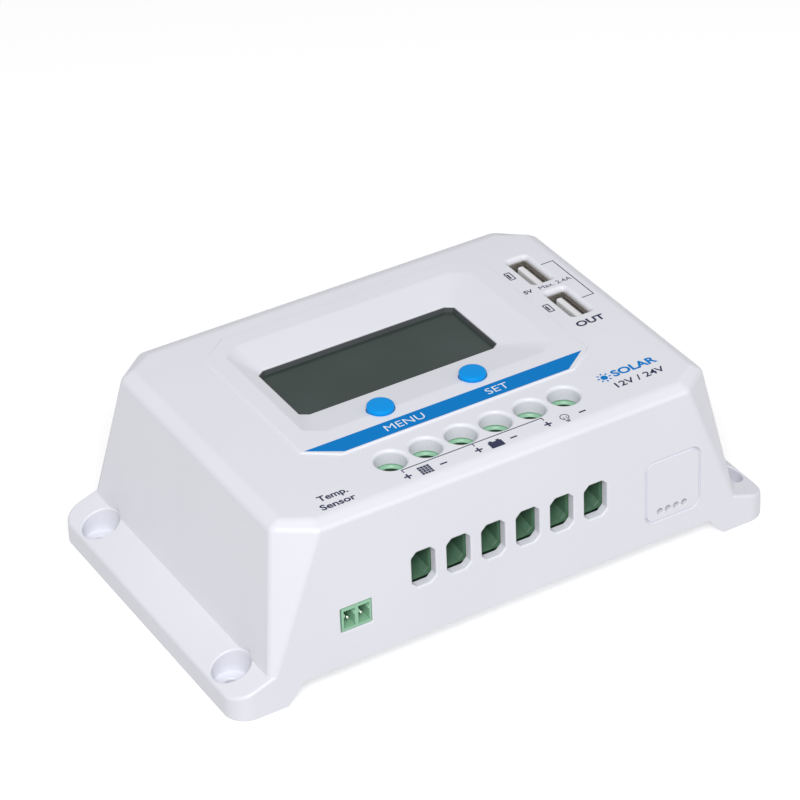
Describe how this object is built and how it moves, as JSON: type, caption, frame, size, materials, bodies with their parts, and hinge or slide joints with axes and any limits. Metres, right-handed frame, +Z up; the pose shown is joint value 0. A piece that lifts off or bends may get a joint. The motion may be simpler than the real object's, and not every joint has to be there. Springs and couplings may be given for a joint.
{
  "type": "solar charge controller",
  "caption": "White solar charge controller: screw-down case with display, two keys, screw-clamp terminals, sensor socket and upright USB sockets.",
  "frame": {"origin": "centre of the bounding box at the underside of the feet", "axes": "+X along the row of terminals and the longest side, +Z up out of the lid, the terminals face -Y"},
  "size_m": [0.16, 0.0948, 0.0507],
  "materials": {
    "case_white": "satin moulded ABS",
    "key_blue": "smooth",
    "terminal_green": "moulded nylon",
    "lcd_grey": "glossy display glass over a dark reflective cell",
    "frame_black": "satin",
    "diffuser_white": "satin",
    "board_green": "solder mask",
    "plated_steel": "bright plated",
    "zinc_steel": "zinc plated",
    "plate_aluminium": "rolled, lightly brushed",
    "brass": "machined",
    "tongue_white": "moulded",
    "part_black": "moulded",
    "pad_grey": "soft matt sheet",
    "capacitor_sleeve": "shrink sleeve",
    "copper_winding": "enamelled wire"
  },
  "bodies": {
    "case": {"base_plate": "plate_aluminium", "base_screw_1": "zinc_steel", "base_screw_2": "zinc_steel", "base_screw_3": "zinc_steel", "base_screw_4": "zinc_steel", "board_link": "part_black", "board_screw_1": "zinc_steel", "board_screw_2": "zinc_steel", "board_screw_3": "zinc_steel", "board_screw_4": "zinc_steel", "board_spacer_1": "brass", "board_spacer_2": "brass", "board_spacer_3": "brass", "board_spacer_4": "brass", "capacitor_1": "capacitor_sleeve", "capacitor_2": "capacitor_sleeve", "choke": "copper_winding", "insulating_pad": "pad_grey", "lcd_backlight": "diffuser_white", "lcd_frame": "frame_black", "lcd_glass": "lcd_grey", "main_board": "board_green", "menu_switch": "part_black", "power_transistor_1": "part_black", "power_transistor_2": "part_black", "power_transistor_3": "part_black", "power_transistor_4": "part_black", "processor": "part_black", "sensor_pin_1": "plated_steel", "sensor_pin_2": "plated_steel", "sensor_socket": "terminal_green", "set_switch": "part_black", "terminal_block": "terminal_green", "upper_board": "board_green", "upper_case": "case_white", "upper_screw_1": "zinc_steel", "upper_screw_2": "zinc_steel", "upper_screw_3": "zinc_steel", "upper_screw_4": "zinc_steel", "usb_1_shell": "plated_steel", "usb_1_tongue": "tongue_white", "usb_2_shell": "plated_steel", "usb_2_tongue": "tongue_white"},
    "menu_key": {"menu_button": "key_blue", "menu_plunger": "part_black"},
    "set_key": {"set_button": "key_blue", "set_plunger": "part_black"},
    "terminal_screw_1": {"clamp_screw_1": "plated_steel"},
    "terminal_cage_1": {"clamp_cage_1": "plated_steel"},
    "terminal_screw_2": {"clamp_screw_2": "plated_steel"},
    "terminal_cage_2": {"clamp_cage_2": "plated_steel"},
    "terminal_screw_3": {"clamp_screw_3": "plated_steel"},
    "terminal_cage_3": {"clamp_cage_3": "plated_steel"},
    "terminal_screw_4": {"clamp_screw_4": "plated_steel"},
    "terminal_cage_4": {"clamp_cage_4": "plated_steel"},
    "terminal_screw_5": {"clamp_screw_5": "plated_steel"},
    "terminal_cage_5": {"clamp_cage_5": "plated_steel"},
    "terminal_screw_6": {"clamp_screw_6": "plated_steel"},
    "terminal_cage_6": {"clamp_cage_6": "plated_steel"}
  },
  "joints": [
    {"name": "menu_press", "type": "slide", "parent": "case", "child": "menu_key", "axis": [0, 0, -1], "range_m": [0, 0.0006], "stiffness_N_per_m": 1500, "springref_m": -0.0004},
    {"name": "set_press", "type": "slide", "parent": "case", "child": "set_key", "axis": [0, 0, -1], "range_m": [0, 0.0006], "stiffness_N_per_m": 1500, "springref_m": -0.0004},
    {"name": "screw_turn_1", "type": "hinge", "parent": "case", "child": "terminal_screw_1", "pos_m": [-0.0254, -0.0319, 0.037], "axis": [0, 0, -1], "range_deg": [0, 1530]},
    {"name": "cage_lift_1", "type": "slide", "parent": "case", "child": "terminal_cage_1", "axis": [0, 0, 1], "range_m": [0, 0.00298]},
    {"name": "screw_turn_2", "type": "hinge", "parent": "case", "child": "terminal_screw_2", "pos_m": [-0.01524, -0.0319, 0.037], "axis": [0, 0, -1], "range_deg": [0, 1530]},
    {"name": "cage_lift_2", "type": "slide", "parent": "case", "child": "terminal_cage_2", "axis": [0, 0, 1], "range_m": [0, 0.00298]},
    {"name": "screw_turn_3", "type": "hinge", "parent": "case", "child": "terminal_screw_3", "pos_m": [-0.00508, -0.0319, 0.037], "axis": [0, 0, -1], "range_deg": [0, 1530]},
    {"name": "cage_lift_3", "type": "slide", "parent": "case", "child": "terminal_cage_3", "axis": [0, 0, 1], "range_m": [0, 0.00298]},
    {"name": "screw_turn_4", "type": "hinge", "parent": "case", "child": "terminal_screw_4", "pos_m": [0.00508, -0.0319, 0.037], "axis": [0, 0, -1], "range_deg": [0, 1530]},
    {"name": "cage_lift_4", "type": "slide", "parent": "case", "child": "terminal_cage_4", "axis": [0, 0, 1], "range_m": [0, 0.00298]},
    {"name": "screw_turn_5", "type": "hinge", "parent": "case", "child": "terminal_screw_5", "pos_m": [0.01524, -0.0319, 0.037], "axis": [0, 0, -1], "range_deg": [0, 1530]},
    {"name": "cage_lift_5", "type": "slide", "parent": "case", "child": "terminal_cage_5", "axis": [0, 0, 1], "range_m": [0, 0.00298]},
    {"name": "screw_turn_6", "type": "hinge", "parent": "case", "child": "terminal_screw_6", "pos_m": [0.0254, -0.0319, 0.037], "axis": [0, 0, -1], "range_deg": [0, 1530]},
    {"name": "cage_lift_6", "type": "slide", "parent": "case", "child": "terminal_cage_6", "axis": [0, 0, 1], "range_m": [0, 0.00298]}
  ],
  "couplings": [
    {"joint": "screw_turn_1", "follows": "cage_lift_1", "rad_per_m": 8976},
    {"joint": "screw_turn_2", "follows": "cage_lift_2", "rad_per_m": 8976},
    {"joint": "screw_turn_3", "follows": "cage_lift_3", "rad_per_m": 8976},
    {"joint": "screw_turn_4", "follows": "cage_lift_4", "rad_per_m": 8976},
    {"joint": "screw_turn_5", "follows": "cage_lift_5", "rad_per_m": 8976},
    {"joint": "screw_turn_6", "follows": "cage_lift_6", "rad_per_m": 8976}
  ]
}
